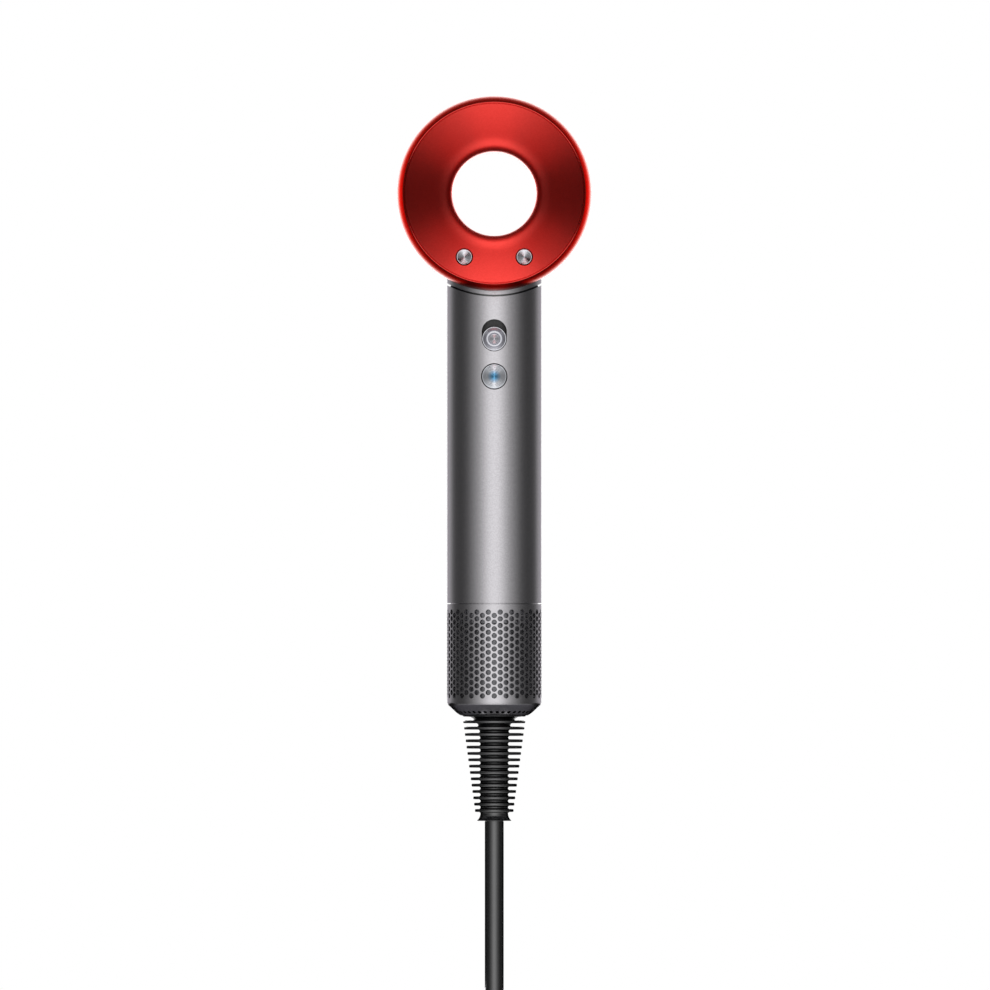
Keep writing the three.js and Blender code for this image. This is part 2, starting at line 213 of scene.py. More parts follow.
# the soft boxes' brightness: before the dryer it falls off to dark sides and rises a little above and below;
# behind it only a strip at the height of the horizon is lit
frontFall = [(0.0, 1.0), (0.22, 0.93), (0.40, 0.66), (0.60, 0.40), (0.80, 0.22), (0.92, 0.10), (1.0, 0.05)]
frontRise = [(0.0, 0.42), (0.35, 0.42), (0.6, 0.45), (0.9, 0.50)]
behindLevel = [(0.0, 1.0), (0.25, 0.50), (0.6, 0.10), (1.0, 0.06)]
frontEdge = (0.6, 0.1)         # the front boxes fade in between these distances behind the dryer
behindSharpness = 4.0
studioStrength = 4.6           # of the strip behind, the brightest part; the front is 0.42 of it

# black cards that the camera does not see: two before the flare, which darken its sides towards the bore,
# and one behind the strain relief, which darkens the fins' tips and the cord's edges
flags = {
    "leftFlag": {"x": (-0.050, -0.012), "y": -0.075, "z": (0.104, 0.136)},
    "rightFlag": {"x": (0.012, 0.050), "y": -0.075, "z": (0.104, 0.136)},
    "reliefFlag": {"x": (-0.09, 0.09), "y": 0.03, "z": (-0.2, -0.0905)},
}
footCard = {"hole": 0.0135, "outer": 0.045, "height": -0.108}


def makeWorld():
    world = bpy.data.worlds.new("softStudio")
    bpy.context.scene.world = world
    world.use_nodes = True
    tree = world.node_tree
    tree.nodes.clear()
    way = addNode(tree, "ShaderNodeTexCoord")
    split = addNode(tree, "ShaderNodeSeparateXYZ", links={"Vector": way.outputs["Generated"]})
    side = addNode(tree, "ShaderNodeMath", {"operation": "ABSOLUTE"}, {0: split.outputs["X"]})
    height = addNode(tree, "ShaderNodeMath", {"operation": "ABSOLUTE"}, {0: split.outputs["Z"]})
    before = addNode(tree, "ShaderNodeMapRange", {"From Min": frontEdge[0], "From Max": frontEdge[1],
                                                  "interpolation_type": "SMOOTHSTEP"},
                     {"Value": split.outputs["Y"]})
    rearward = addNode(tree, "ShaderNodeMath", {"operation": "MAXIMUM", 1: 0.0}, {0: split.outputs["Y"]})
    behind = addNode(tree, "ShaderNodeMath", {"operation": "POWER", 1: behindSharpness},
                     {0: rearward.outputs[0]})
    fall = addNode(tree, "ShaderNodeValToRGB", {"stops": frontFall}, {"Fac": side.outputs[0]})
    rise = addNode(tree, "ShaderNodeValToRGB", {"stops": frontRise}, {"Fac": height.outputs[0]})
    back = addNode(tree, "ShaderNodeValToRGB", {"stops": behindLevel}, {"Fac": height.outputs[0]})
    front = addNode(tree, "ShaderNodeMix", {"data_type": "RGBA", "blend_type": "MULTIPLY", 0: 1.0},
                    {6: fall.outputs["Color"], 7: rise.outputs["Color"]})
    ahead = addNode(tree, "ShaderNodeMix", {"data_type": "RGBA", 6: (0, 0, 0, 1)},
                    {0: before.outputs["Result"], 7: front.outputs[2]})
    both = addNode(tree, "ShaderNodeMix", {"data_type": "RGBA", "blend_type": "ADD"},
                   {0: behind.outputs[0], 6: ahead.outputs[2], 7: back.outputs["Color"]})
    lit = addNode(tree, "ShaderNodeBackground", {"Strength": studioStrength}, {"Color": both.outputs[2]})
    plain = addNode(tree, "ShaderNodeBackground", {"Color": (1, 1, 1, 1), "Strength": 1.0})
    ray = addNode(tree, "ShaderNodeLightPath")
    pick = addNode(tree, "ShaderNodeMixShader", links={0: ray.outputs["Is Camera Ray"], 1: lit.outputs[0],
                                                       2: plain.outputs[0]})
    addNode(tree, "ShaderNodeOutputWorld", links={"Surface": pick.outputs[0]})


def makeFlags():
    # black velvet: swallows nearly all light
    velvet = texturedMaterial("blackVelvet", ("noise", 2.0), ("noise", 1.0),
                              ("#030303", "#060606"), (0.9, 1.0), 0.1)
    for name, f in flags.items():
        deselectAll()
        bpy.ops.mesh.primitive_plane_add(size=1, rotation=(math.pi / 2, 0, 0))
        card = bpy.context.object
        card.name = name
        card.scale = (f["x"][1] - f["x"][0], f["z"][1] - f["z"][0], 1)
        card.location = (sum(f["x"]) / 2, f["y"], sum(f["z"]) / 2)
        bakePlace(card)
        card.data.materials.append(velvet)
        card.visible_camera = False
    # a grey disc round the strain relief, which the foot's chamfer mirrors
    ring = footCard
    deselectAll()
    bpy.ops.mesh.primitive_circle_add(vertices=64, radius=ring["hole"], location=(0, 0, ring["height"]))
    disc = bpy.context.object
    disc.name = "footCard"
    bpy.ops.object.mode_set(mode="EDIT")
    bpy.ops.mesh.select_all(action="SELECT")
    bpy.ops.mesh.extrude_region_move()
    bpy.ops.transform.resize(value=(ring["outer"] / ring["hole"],) * 3,
                             center_override=(0, 0, ring["height"]))
    bpy.ops.object.mode_set(mode="OBJECT")
    bakePlace(disc)
    # grey card stock with a faint tooth
    disc.data.materials.append(texturedMaterial("greyCardStock", ("noise", 2.0), ("noise", 1.0),
                                                ("#75757a", "#7d7d82"), (0.8, 0.9), 0.05))
    disc.visible_camera = False


def makeStudio():
    bpy.context.scene.view_settings.view_transform = "Standard"
    makeWorld()
    bpy.ops.object.light_add(type="AREA", location=(0, 0, studio["overheadHeight"]))
    overhead = bpy.context.object
    overhead.name = "overheadLight"
    overhead.data.shape = "DISK"
    overhead.data.size = studio["overheadSize"]
    overhead.data.energy = studio["overheadPower"]
    bpy.ops.mesh.primitive_circle_add(vertices=96, radius=studio["floorSize"] / 2, fill_type="NGON",
                                      location=(0, 0, studio["floorHeight"]))
    floor = bpy.context.object
    floor.name = "floor"
    floor.visible_glossy = False   # the paint mirrors the soft boxes all round, with no edge of floor in it
    # smooth painted board, nearly white
    floor.data.materials.append(texturedMaterial("paleFloorPaint", ("noise", 60.0), ("noise", 20.0),
                                                  ("#f1f1f1", "#f4f4f4"), (0.6, 0.7), 0.005))
    makeFlags()
    print("studio: world, overhead light, floor and flags")


def linear(code):
    # an sRGB hex colour as linear RGBA
    parts = [int(code[i:i + 2], 16) / 255 for i in (1, 3, 5)]
    return tuple(c / 12.92 if c <= 0.04045 else ((c + 0.055) / 1.055) ** 2.4 for c in parts) + (1.0,)


# object coordinates are metres, so a pattern s millimetres wide has scale 1000 / s,
# and a wave that repeats every s millimetres has scale 314 / s

def startMaterial(name, **shaderValues):
    material = bpy.data.materials.new(name)
    material.use_nodes = True
    tree = material.node_tree
    tree.nodes.clear()
    shader = addNode(tree, "ShaderNodeBsdfPrincipled", shaderValues)
    addNode(tree, "ShaderNodeOutputMaterial", links={"Surface": shader.outputs[0]})
    return material, tree, shader, addNode(tree, "ShaderNodeTexCoord").outputs["Object"]


def finishSurface(tree, shader, colourFrom, reliefFrom, colours, rough, bumpMm, bumpStrength=1.0):
    # one pattern tints the colour; the other varies the roughness and lifts the surface
    stops = [(0.3, linear(colours[0])), (0.7, linear(colours[1]))]
    tint = addNode(tree, "ShaderNodeValToRGB", {"stops": stops}, {"Fac": colourFrom})
    spread = addNode(tree, "ShaderNodeMapRange", {"From Min": 0.3, "From Max": 0.7, "To Min": rough[0],
                                                  "To Max": rough[1]}, {"Value": reliefFrom})
    bump = addNode(tree, "ShaderNodeBump", {"Strength": bumpStrength, "Distance": bumpMm * mm},
                   {"Height": reliefFrom})
    tree.links.new(tint.outputs["Color"], shader.inputs["Base Color"])
    tree.links.new(spread.outputs["Result"], shader.inputs["Roughness"])
    tree.links.new(bump.outputs["Normal"], shader.inputs["Normal"])


# each pattern's node, its scale at one millimetre and the output used
patterns = {
    "noise": ("ShaderNodeTexNoise", 1000, "Fac"),
    "waves": ("ShaderNodeTexWave", 314, "Fac"),
    "cells": ("ShaderNodeTexVoronoi", 1000, "Color"),
    "cellEdges": ("ShaderNodeTexVoronoi", 1000, "Distance"),
    "checks": ("ShaderNodeTexChecker", 1000, "Fac"),
}


def texturedMaterial(name, colourPattern, reliefPattern, colours, rough, bumpMm, **shaderValues):
    # a pattern is given by its name, its size in millimetres and any other settings
    material, tree, shader, where = startMaterial(name, **shaderValues)
    outputs = []
    for kind, size, *others in (colourPattern, reliefPattern):
        node, scale, output = patterns[kind]
        settings = {"Scale": scale / size, **(others[0] if others else {})}
        outputs.append(addNode(tree, node, settings, {"Vector": where}).outputs[output])
    finishSurface(tree, shader, outputs[0], outputs[1], colours, rough, bumpMm)
    return material


def fanned(material, centre):
    # a highlight spreads away from the head's axis, across fine rings left by turning
    tree = material.node_tree
    where = addNode(tree, "ShaderNodeTexCoord").outputs["Object"]
    outward = addNode(tree, "ShaderNodeMapping", {"Location": [-c * mm for c in centre]}, {"Vector": where})
    tree.links.new(outward.outputs[0], tree.nodes["Principled BSDF"].inputs["Tangent"])
    return material


def turnedMetal(name, centre, colours, rough, bumpMm, pitchMm=0.3, middle=None):
    # aluminium faced on a lathe: fine rings that fan the light across the face;
    # middle is a colour that shows at the centre and fades out by a radius in millimetres
    material, tree, shader, where = startMaterial(name, Metallic=1.0)
    onAxis = addNode(tree, "ShaderNodeMapping", {"Location": [-c * mm for c in centre]}, {"Vector": where})
    rings = addNode(tree, "ShaderNodeTexWave", {"Scale": 314 / pitchMm, "wave_type": "RINGS",
                                                "rings_direction": "Y", "Distortion": 0.4, "Detail": 2.0},
                    {"Vector": onAxis.outputs[0]})
    finishSurface(tree, shader, rings.outputs["Fac"], rings.outputs["Fac"], colours, rough, bumpMm, 0.6)
    if middle:
        colour, reach = middle
        across = addNode(tree, "ShaderNodeVectorMath", {"operation": "MULTIPLY", 1: (1, 0, 1)},
                         {0: onAxis.outputs[0]})
        radius = addNode(tree, "ShaderNodeVectorMath", {"operation": "LENGTH"}, {0: across.outputs[0]})
        fade = addNode(tree, "ShaderNodeMapRange", {"From Min": reach * mm / 3, "From Max": reach * mm,
                                                    "To Min": 1.0, "To Max": 0.0},
                       {"Value": radius.outputs["Value"]})
        tint = shader.inputs["Base Color"].links[0].from_socket
        stained = addNode(tree, "ShaderNodeMix", {"data_type": "RGBA", 7: linear(colour)},
                          {0: fade.outputs["Result"], 6: tint})
        tree.links.new(stained.outputs[2], shader.inputs["Base Color"])
    return material


def wovenSteelMesh(radius=17.1, pitchMm=0.55):
    # plain-woven stainless gauze on a tube, drawn a little coarse to show: the thread crowns are a painted
    # highlight and the gaps between them painted shade
    material, tree, shader, where = startMaterial("wovenSteelMesh", Metallic=0.7)
    split = addNode(tree, "ShaderNodeSeparateXYZ", links={"Vector": where})
    turn = addNode(tree, "ShaderNodeMath", {"operation": "ARCTAN2"},
                   {0: split.outputs["Y"], 1: split.outputs["X"]})
    threads = round(2 * math.pi * radius / pitchMm)
    around = addNode(tree, "ShaderNodeMath", {"operation": "MULTIPLY", 1: threads}, {0: turn.outputs[0]})
    up = addNode(tree, "ShaderNodeMath", {"operation": "MULTIPLY", 1: 2 * math.pi / (pitchMm * mm)},
                 {0: split.outputs["Z"]})
    warp = addNode(tree, "ShaderNodeMath", {"operation": "SINE"}, {0: around.outputs[0]})
    weft = addNode(tree, "ShaderNodeMath", {"operation": "SINE"}, {0: up.outputs[0]})
    crossed = addNode(tree, "ShaderNodeMath", {"operation": "MULTIPLY"},
                      {0: warp.outputs[0], 1: weft.outputs[0]})
    # painted light: the colour is bright on the crowns and dark in the gaps, and the same pattern lifts the
    # bump
    weaveLightAndShade = addNode(tree, "ShaderNodeMapRange", {"From Min": -1.0, "From Max": 1.0},
                    {"Value": crossed.outputs[0]})
    finishSurface(tree, shader, weaveLightAndShade.outputs["Result"], weaveLightAndShade.outputs["Result"], ("#19191b", "#8c8c90"),
                  (0.3, 0.42), 0.02)
    return material


def makeMaterials():
    winding = ("waves", 0.6, {"wave_type": "RINGS", "rings_direction": "Z"})
    made = {
        # sprayed satin metallic lacquer on moulded nylon: grey flake, soft wide highlight, faint orange peel
        "gunmetalPaint": texturedMaterial("satinGunmetalPaint", ("cells", 0.35), ("noise", 1.6),
                                          ("#a09ea1", "#a6a4a7"), (0.24, 0.26), 0.001, Metallic=1.0,
                                          **{"Specular Tint": linear("#858386")}),
        # the same lacquer in red: deep colour side-on, bright where it faces the light
        "redPaint": texturedMaterial("satinRedPaint", ("cells", 0.35), ("noise", 1.6),
                                     ("#b93833", "#bf3c37"), (0.24, 0.26), 0.001, Metallic=1.0,
                                     **{"Specular Tint": linear("#c8948f")}),
        # on the cone the red lies over fine turned rings
        "conePaint": fanned(texturedMaterial("satinRedPaintOnRings", ("cells", 0.35), ("noise", 1.6),
                                             ("#c93c36", "#cf403a"), (0.34, 0.36), 0.001, Metallic=1.0,
                                             Anisotropic=0.8), (0, -50, 120)),
        # spark-eroded black nylon: matt with a fine grain
        "blackNylon": texturedMaterial("mouldedBlackNylon", ("noise", 0.6), ("noise", 0.4),
                                       ("#0b0b0c", "#151516"), (0.45, 0.6), 0.015, IOR=1.53),
        # glass-filled grey nylon: matt, with streaks from the mould's flow
        "greyNylon": texturedMaterial("glassFilledNylon", ("noise", 1.5, {"Detail": 5.0}), ("noise", 0.5),
                                      ("#34353a", "#46484d"), (0.5, 0.65), 0.01, IOR=1.53),
        # thermoplastic elastomer from a polished mould: deep black with a clear highlight
        "elastomer": texturedMaterial("blackElastomer", ("noise", 1.2), ("noise", 0.8),
                                      ("#070708", "#0f0f11"), (0.18, 0.24), 0.006, IOR=1.5,
                                      **{"Specular IOR Level": 1.0}),
        # round PVC sheath: smooth black with a long highlight and slight waviness
        "sheath": texturedMaterial("pvcCordSheath", ("noise", 2.5), ("noise", 4.0),
                                   ("#060607", "#0d0d0f"), (0.18, 0.22), 0.02, IOR=1.53,
                                   **{"Specular IOR Level": 1.0}),
        # woven polyester strap: diagonal threads and a soft nap
        "strap": texturedMaterial("wovenPolyesterStrap", ("noise", 0.6), ("checks", 0.8),
                                  ("#0f0f11", "#202024"), (0.7, 0.9), 0.12, **{"Sheen Weight": 0.4}),
        # pressed mica paper: warm flakes with a pearly sheen
        "mica": texturedMaterial("pressedMica", ("cells", 2.5), ("cellEdges", 2.5),
                                 ("#b7a47d", "#d8c9a6"), (0.35, 0.55), 0.02, IOR=1.58),
        # nickel-chrome ribbon and spring wire: draw marks and a little heat tint
        "wire": texturedMaterial("nickelChromeWire", ("noise", 6.0), ("waves", 0.4, {"Distortion": 1.5}),
                                 ("#77726e", "#a09a92"), (0.25, 0.42), 0.01, Metallic=1.0),
        # glass-epoxy board under green mask: the cloth weave shows through the gloss
        "board": texturedMaterial("solderMaskedBoard", ("noise", 3.0), ("checks", 0.8),
                                  ("#12422a", "#185436"), (0.3, 0.42), 0.01, IOR=1.55),
        # magnet wire wound 0.6 mm apart under amber enamel
        "copper": texturedMaterial("enamelledCopper", winding, winding,
                                   ("#7a3a1c", "#c77a4a"), (0.22, 0.4), 0.12, Metallic=1.0),
        # ground and laminated steel: fine bands along the axis
        "steel": texturedMaterial("groundSteel", ("noise", 2.0), ("waves", 0.5, {"bands_direction": "Z"}),
                                  ("#7f8186", "#a5a7ac"), (0.25, 0.38), 0.02, Metallic=1.0),
        # die-cast aluminium, lightly tumbled
        "castAluminium": texturedMaterial("castAluminium", ("noise", 1.5), ("noise", 0.6),
                                          ("#a9aaad", "#c4c5c8"), (0.3, 0.42), 0.01, Metallic=1.0),
        # bright nickel plate on brass pins, with faint drawing lines
        "nickel": texturedMaterial("nickelPlatedBrass", ("noise", 1.5),
                                   ("waves", 0.5, {"bands_direction": "X"}),
                                   ("#c4beb2", "#dad4ca"), (0.12, 0.22), 0.004, Metallic=1.0),
        "gauze": wovenSteelMesh(),
    }
    print("materials:", len(made))
    return made


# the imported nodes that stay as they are, and what each is made of
keptNodes = {
    "steel": ["magnet_ring", "stator_core", "bearing_lower", "bearing_upper", "rotor_shaft", "rotor_magnet",
              "clamp_screw_left", "clamp_screw_right"],
    "mica": ["heat_shield", "heater_frame"],
    "wire": ["heater_ribbon", "cold_shot_spring"],
    "blackNylon": ["thermistor", "ioniser_module", "speed_switch", "heat_switch", "slide_switch",
                   "slide_plate", "cold_shot_switch"],
    "castAluminium": ["thermal_fuse", "impeller"],
    "board": ["control_board", "switch_board", "motor_board"],
    "elastomer": ["motor_boot"],
    "greyNylon": ["inner_duct", "motor_housing", "diffuser", "base_frame", "cable_clamp"],
    "sheath": ["lead_live", "lead_neutral", "head_loom"],
    "copper": ["winding_lower", "winding_upper"],
}


def paintKeptNodes(materials):
    for finish, names in keptNodes.items():
        for name in names:
            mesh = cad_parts[name].data
            mesh.materials.clear()
            mesh.materials.append(materials[finish])


# the cord comes out of the strain relief, goes straight down into a tied hank, and up to the plug
cordPiece = {
    "diameter": 7.6,
    "length": 2.74,            # metres
    "exit": (0, 0, -132.15),
    "drop": [(0, 0, -132.15), (0, 0, -145), (0, 0, -160), (0, 0, -180), (0, 0, -200)],
    "intoHank": [(1.1, 0, -208), (4.2, 0, -215.5), (9.1, 0, -221.9), (11.4, 0, -224.0), (13.7, 0, -226.1),
                 (18.6, 0, -232.5), (21.7, 0, -240), (22.8, 0, -248)],
    "tail": [(-29.4, -8.4, -346), (-26.4, -9.2, -338.5), (-21.6, -10.5, -332.1), (-15.2, -12.2, -327),
             (-8.8, -13.9, -322), (-4, -15.2, -315.5), (-1, -16, -308), (0, -16.3, -300),
             (0, -16.3, -296.2)],
    "foldTop": -240,
    "foldBottom": -354,
    "rows": [0, 1, 2, 3, 3, 2, 1],
    "foldRadii": [22.8, 22.8, 22.8, 22.8, 30.4, 30.4, 30.4],
    "rowPitch": 7.7,
    "tailRow": -8.1,
    "downSteps": 6,            # points along each run and round each fold
    "upSteps": 8,
    "foldSteps": 12,
}


def ease(t):
    return t * t * (3 - 2 * t)


def hankTurns():
    # four inner turns move forward a row at a time; three outer turns come back over them
    c = cordPiece
    top, bottom, radii = c["foldTop"], c["foldBottom"], c["foldRadii"]
    down, up, fold = c["downSteps"], c["upSteps"], c["foldSteps"]
    rows = [row * c["rowPitch"] for row in c["rows"]]
    points = []
    for turn, (y, radius) in enumerate(zip(rows, radii)):
        last = turn == len(rows) - 1
        below = 0.0 if last else y
        after = c["tailRow"] if last else y
        for i in range(0 if turn else 2, down):
            points.append((radius, y + (below - y) * ease(i / down), top + (bottom - top) * i / down))
        for i in range(fold + 1):
            turned = math.pi * i / fold
            points.append((radius * math.cos(turned), below + (after - below) * ease(i / fold),
                           bottom - radius * math.sin(turned)))
        if last:
            return points
        nextRadius, nextY = radii[turn + 1], rows[turn + 1]
        for i in range(1, up):
            points.append((-radius - (nextRadius - radius) * ease(i / up), y + (nextY - y) * ease(i / up),
                           bottom + (top - bottom) * i / up))
        for i in range(fold):
            turned = math.pi - math.pi * i / fold
            points.append((nextRadius * math.cos(turned), nextY, top + nextRadius * math.sin(turned)))


def makeCord(materials):
    c = cordPiece
    points = c["drop"] + c["intoHank"] + hankTurns() + c["tail"]
    line = bpy.data.curves.new("mainsCord", "CURVE")
    line.dimensions = "3D"
    line.bevel_depth = c["diameter"] / 2 * mm
    line.bevel_resolution = 5
    line.use_fill_caps = True
    spline = line.splines.new("POLY")
    spline.points.add(len(points) - 1)
    for spot, point in zip(spline.points, points):
        spot.co = (*(v * mm for v in point), 1)
    spline.use_smooth = True
    cord = bpy.data.objects.new("mainsCord", line)
    bpy.context.scene.collection.objects.link(cord)
    length = sum((Vector(a) - Vector(b)).length for a, b in zip(points, points[1:])) * mm
    print("cord:", len(points), "points,", round(length, 3), "m")
    return finishPiece(cord, "body", "rubber", materials["sheath"], "cord_drop", "cord_hank", "cord_tail")


tie = {
    "corners": [(34.5, 27.4), (34.5, -4.3), (18.6, -28.8), (-18.6, -28.8), (-34.5, -4.3), (-34.5, 27.4)],
    "low": -274,
    "width": 14,
    "thickness": 1.4,
    "cornerRound": 2.5,
    "edgeRound": 0.3,
}


def makeTie(materials):
    # a strap round the hank and the plug
    outline = [(x, y, tie["low"]) for x, y in tie["corners"]]
    strap = drawnLine("cordTie", outline, closed=True)
    bpy.ops.mesh.extrude_region_move(TRANSFORM_OT_translate={"value": (0, 0, tie["width"] * mm)})
    corner = strap.data.vertices
    selectWhere(strap, "EDGE", lambda e: abs(corner[e.vertices[0]].co.z - corner[e.vertices[1]].co.z)
                > tie["width"] * mm / 2)
    bpy.ops.mesh.bevel(offset=tie["cornerRound"] * mm, segments=5, affect="EDGES")
    bpy.ops.mesh.select_all(action="SELECT")
    bpy.ops.mesh.remove_doubles(threshold=0.01 * mm)
    bpy.ops.mesh.normals_make_consistent(inside=False)
    bpy.ops.object.mode_set(mode="OBJECT")
    bakePlace(strap)
    addModifier(strap, "SOLIDIFY", thickness=tie["thickness"] * mm, offset=1)
    applyModifiers(strap)
    roundEdges(strap, tie["edgeRound"], 2)
    smoothShade(strap)
    return finishPiece(strap, "body", "black", materials["strap"], "cord_tie")


plug = {
    "y": -16.3,
    "thin": 2 / 3,             # its depth over its width
    "corners": [(0, -295.9), (7.1, -295.9), (7.5, -295.5), (7.6, -291), (8.4, -290.6), (8.4, -289.4),
                (8.0, -289), (8.3, -286.5), (9.2, -286.1), (9.2, -284.9), (8.9, -284.5), (9.6, -281),
                (11.2, -276.5), (13.6, -272), (15.6, -268.2), (17, -264.5), (17.8, -261), (18, -258),
                (18, -255.2), (17.3, -254.2), (16.8, -254), (0, -254)],
    "pinX": 9.5,
    "pinRadius": 2.4,
    "pin": [(0, -253.7), (2.4, -253.7), (2.4, -244.2), (2.25, -244), (2.25, -236.6), (2.0, -235.6),
            (1.3, -234.9), (0, -234.7)],
}


def makePlug(materials):
    body = turnedPiece("plugBody", plug["corners"], "handle", 96)
    activate(body)
    bpy.ops.transform.resize(value=(1, plug["thin"], 1), center_override=(0, 0, 0))
    bpy.ops.transform.translate(value=(0, plug["y"] * mm, 0))
    bakePlace(body)
    smoothShade(body, 40)
    finishPiece(body, "body", "rubber", materials["elastomer"], "plug_body")
    made = [body]
    for side, node in ((-1, "plug_pin_left"), (1, "plug_pin_right")):
        pin = turnedPiece("plugPin" + ("Left" if side < 0 else "Right"), plug["pin"], "handle", 32,
                          (side * plug["pinX"], plug["y"], 0))
        smoothShade(pin)
        made.append(finishPiece(pin, "body", "metal", materials["nickel"], node))
    return made


def makeLead(materials):
    cord = makeCord(materials)
    carried = [makeTie(materials), *makePlug(materials)]
    print("lead: cord, tie, plug and pins")


rearFlare = {
    "throat": [(16.9, -19.6), (16.9, -21.6), (17.0, -23.4), (17.25, -25.0), (17.65, -26.3), (18.15, -27.3),
               (18.7, -28.1), (19.25, -28.65), (19.9, -29.1), (20.6, -29.55), (21.3, -30.05), (22.0, -30.6),
               (22.8, -31.3)],
    "coneLine": -8.5,          # radius plus y
    "coneEnd": 35.7,
    "lip": [(36.05, -44.55), (36.25, -44.8), (36.45, -44.8), (36.65, -44.5), (37.0, -43.6),
            (37.45, -42.2), (37.9, -40.6), (38.25, -39), (38.55, -37), (38.8, -34.5), (38.95, -32),
            (39, -29.5), (39, -24.3)],
    "inside": [(37.5, -24.3), (37.4, -30), (36.6, -37), (35.2, -41.4), (27, -33.2), (23.3, -29.5), (21, -28),
               (19.6, -26.8), (18.7, -25), (18.5, -22.6), (18.5, -19.6)],
    "buttonHole": 3.5,
    "buttonX": 12,
    "buttonZ": 94.5,
}


def cylinderAlongY(radius, x, z, fromY, toY, vertices=48):
    deselectAll()
    bpy.ops.mesh.primitive_cylinder_add(vertices=vertices, radius=radius * mm, depth=(toY - fromY) * mm,
                                        location=(x * mm, (fromY + toY) / 2 * mm, z * mm),
                                        rotation=(math.pi / 2, 0, 0))
    return bakePlace(bpy.context.object)


def cylinderAlongZ(radius, x, y, fromZ, toZ, vertices=96):
    deselectAll()
    bpy.ops.mesh.primitive_cylinder_add(vertices=vertices, radius=radius * mm, depth=(toZ - fromZ) * mm,
                                        location=(x * mm, y * mm, (fromZ + toZ) / 2 * mm))
    return bakePlace(bpy.context.object)


# the neck, its seal and the grip all end on curves round the head's axis
saddle = {
    "headZ": 120,
    "halfWidth": 30,
    "reach": 60,
    "sides": 256,
    "low": 76,                 # heights that the neck and the seal start from before they are trimmed
    "high": 95,
}


def insideSaddle(radius):
    # a plug round the head's axis, to cut away all within a radius
    half = saddle["halfWidth"]
    return cylinderAlongY(radius, 0, saddle["headZ"], -half, half, saddle["sides"])


def outsideSaddle(name, radius):
    # a thick ring round the head's axis, to cut away all beyond a radius
    half, reach = saddle["halfWidth"], saddle["reach"]
    return turnedPiece(name, [(radius, -half), (radius, half), (reach, half), (reach, -half)], "head",
                       saddle["sides"])


def makeRearFlare(materials):
    # the red rear: a rounded throat out of the bore, a 45 degree cone and a rolled lip
    f = rearFlare
    start = f["throat"][-1][0]
    cone = [(start + (f["coneEnd"] - start) * i / 8, f["coneLine"] - start - (f["coneEnd"] - start) * i / 8)
            for i in range(1, 9)]
    flare = turnedPiece("rearFlare", f["throat"] + cone + f["lip"] + f["inside"], "head", 192)
    cutAway(flare, *[cylinderAlongY(f["buttonHole"], side * f["buttonX"], f["buttonZ"], -45, -20)
                     for side in (-1, 1)])
    smoothShade(flare, 30)
    finishPiece(flare, "body", "flare", materials["redPaint"], "rear_flare")
    flare.data.materials.append(materials["conePaint"])
    bpy.ops.object.mode_set(mode="EDIT")
    selectWhere(flare, "FACE", lambda face: face.normal.y < -0.2
                and math.hypot(face.center.x, face.center.z - saddle["headZ"] * mm) < f["coneEnd"] * mm)
    flare.active_material_index = 1
    bpy.ops.object.material_slot_assign()
    bpy.ops.object.mode_set(mode="OBJECT")
    return flare


headShell = {
    "outside": [(39, -24), (39, -12), (39, 0), (39, 12), (39, 24), (38.8, 29), (38.4, 34), (37.9, 38.4),
                (37.2, 42), (36.75, 44.3), (36.2, 46)],
    "inside": [(34.9, 46), (35.7, 42), (36.9, 34), (37.5, 24), (37.5, 0), (37.5, -24)],
    "duct": 16.6,
    "neck": 19,
    "neckEnd": 40.5,           # radius about the head's axis that the neck ends on
    "neckStart": 38.2,
    "neckRows": [82, 88],
}


def makeHeadShell(materials):
    # the barrel over the heater, with a short neck saddled under it
    h = headShell
    barrel = turnedPiece("headShell", h["outside"] + h["inside"], "head", 192)
    cutAway(barrel, cylinderAlongZ(h["duct"], 0, 0, 60, 100))
    smoothShade(barrel, 30)
    heights = [saddle["low"], *h["neckRows"], saddle["high"]]
    neck = turnedPiece("neck", [(h["duct"], heights[0])] + [(h["neck"], z) for z in heights]
                       + [(h["duct"], heights[-1])], "handle", 192)
    cutAway(neck, outsideSaddle("neckLimit", h["neckEnd"]), insideSaddle(h["neckStart"]))
    smoothShade(neck, 30)
    activate(neck)
    barrel.select_set(True)
    bpy.context.view_layer.objects.active = barrel
    bpy.ops.object.join()
    return finishPiece(barrel, "body", "shell", materials["gunmetalPaint"], "head_shell")


airPath = {
    "boreSleeve": [(16.9, -19.3), (18.1, -19.3), (18.1, 44), (17.9, 44.2), (17.2, 44.2), (16.9, 43.9),
                   (16.9, 30), (16.9, 10), (16.9, -8)],
    "innerOutletRing": [(16.9, 44.5), (17.2, 44.3), (18.3, 44.3), (19.4, 47), (26.2, 47), (26.6, 40),
                        (28.2, 40), (28.0, 44), (27.7, 48.2), (27.4, 49.3), (26.9, 49.9), (26.5, 50),
                        (19.4, 50), (18.8, 49.8), (18.2, 48.9), (17.4, 47), (17.0, 45.6)],
    "frontCollar": [(31.2, 43.5), (34.3, 43.5), (34.3, 46.3), (36.2, 46.3), (36.1, 48), (35.75, 49.8),
                    (35.2, 51.1), (34.7, 51.8), (34.2, 52), (31.6, 52), (31.3, 51.8), (31.2, 51.4)],
}


def makeAirPath(materials):
    for name, node, slot, finish in (("boreSleeve", "bore_sleeve", "flare", "redPaint"),
                                     ("innerOutletRing", "inner_outlet_ring", "shell", "gunmetalPaint"),
                                     ("frontCollar", "front_collar", "shell", "gunmetalPaint")):
        ring = turnedPiece(name, airPath[name], "head", 192)
        smoothShade(ring, 30)
        finishPiece(ring, "body", slot, materials[finish], node)


neckSeal = {
    "inside": 16.9,
    "sleeve": (17.5, 74.2, 88),    # radius, foot and top of the sleeve inside the joint
    "flange": 17.7,            # radius of the lip that shows as the dark seam
    "gap": (40.55, 41.2),      # radii about the head's axis that the lip fills
}


